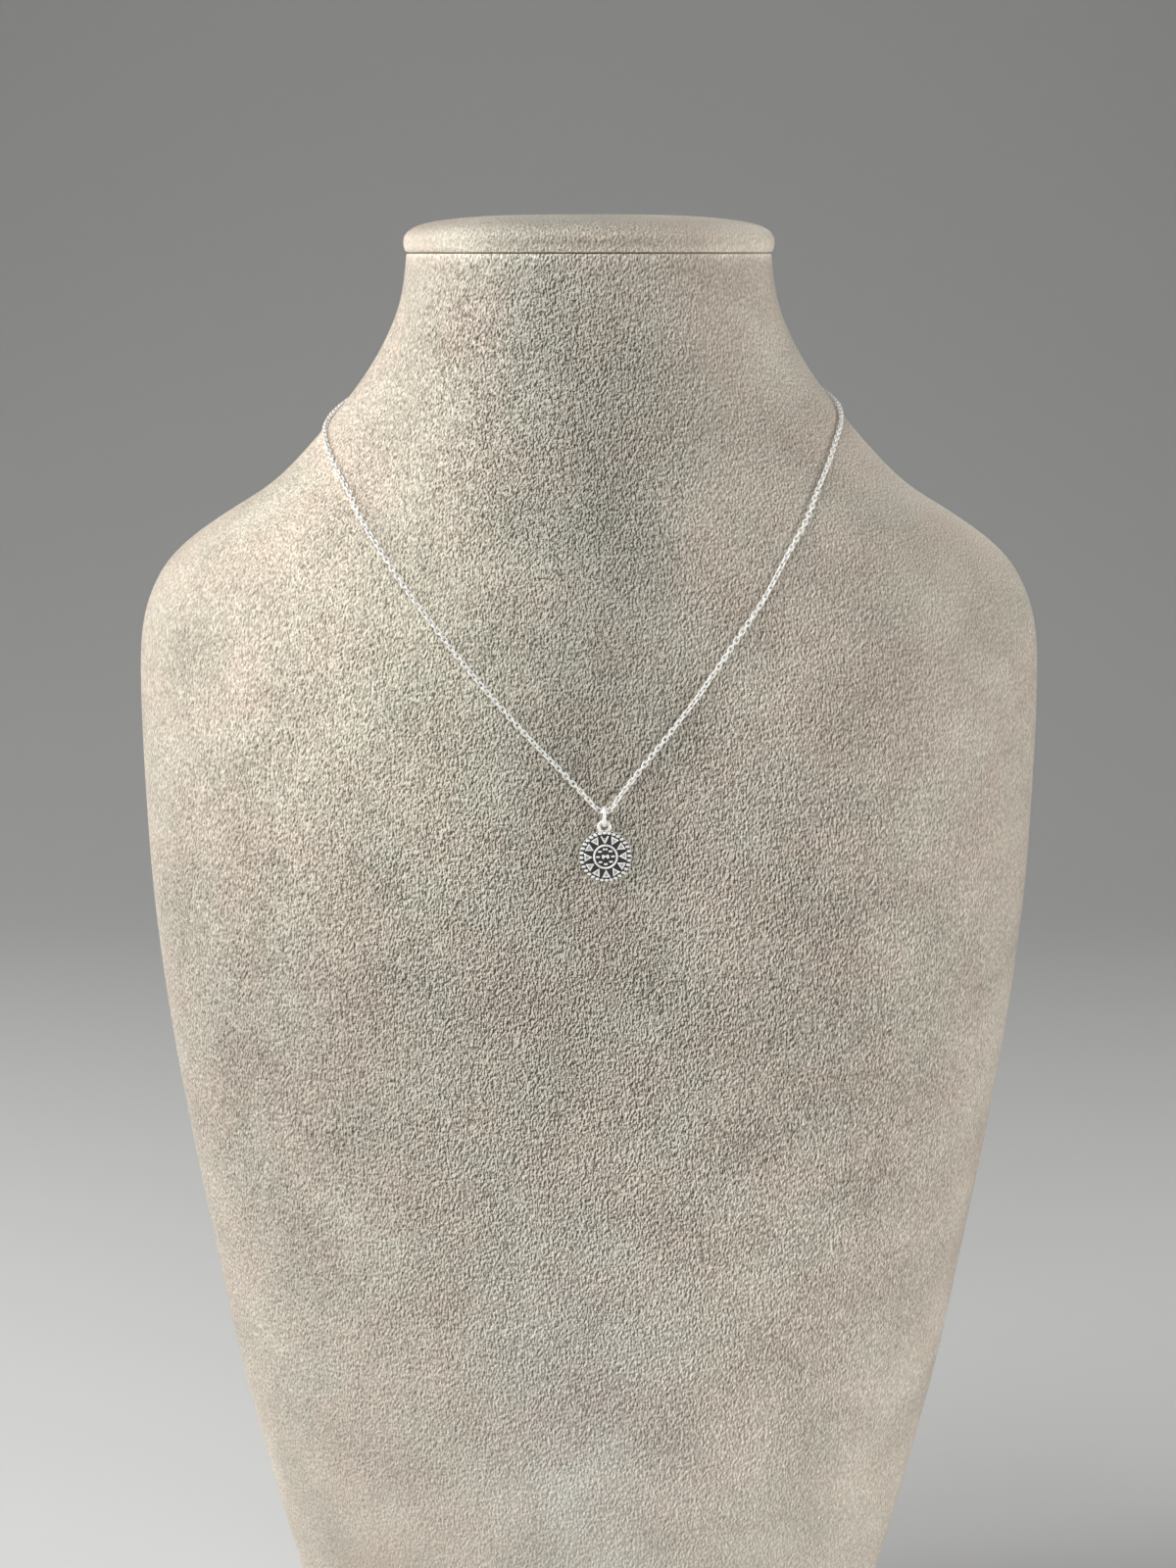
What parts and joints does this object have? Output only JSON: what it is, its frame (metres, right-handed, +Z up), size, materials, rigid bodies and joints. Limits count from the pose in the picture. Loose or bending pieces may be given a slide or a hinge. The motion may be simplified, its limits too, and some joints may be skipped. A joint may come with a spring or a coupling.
{
  "type": "disc pendant necklace on a neck bust display",
  "caption": "Fine silver cable chain with a small oxidised disc pendant, hung on a velvet-covered neck bust display that stands on its flat base.",
  "frame": {"origin": "middle of the bust's width on its flat base, about 2 mm ahead of the middle of the base's depth", "axes": "+Z up, the chest and the pendant face -Y, +X to the right as the front is looked at"},
  "size_m": [0.21, 0.1018, 0.3643],
  "materials": {
    "velvet_body": "warm grey velvet with a soft nap",
    "velvet_cap": "warm grey velvet with a soft nap",
    "silver_chain": "polished silver",
    "silver_clasp": "polished silver",
    "silver_ring": "polished silver",
    "oxidised_silver": "cast silver, bright on the relief and blackened in the field"
  },
  "bodies": {
    "bust": {"bust_body": "velvet_body", "bust_cap": "velvet_cap", "chain": "silver_chain", "clasp": "silver_clasp"},
    "ring": {"jump_ring": "silver_ring"},
    "pendant": {"disc_pendant": "oxidised_silver"}
  },
  "joints": [
    {"name": "ring_swing", "type": "hinge", "parent": "bust", "child": "ring", "pos_m": [0.00335, -0.05416, 0.23282], "axis": [-1, 0, 0], "range_deg": [0, 80]},
    {"name": "pendant_swing", "type": "hinge", "parent": "ring", "child": "pendant", "pos_m": [0.00335, -0.05416, 0.22999], "axis": [0, 1, 0], "range_deg": [-50, 50]}
  ]
}
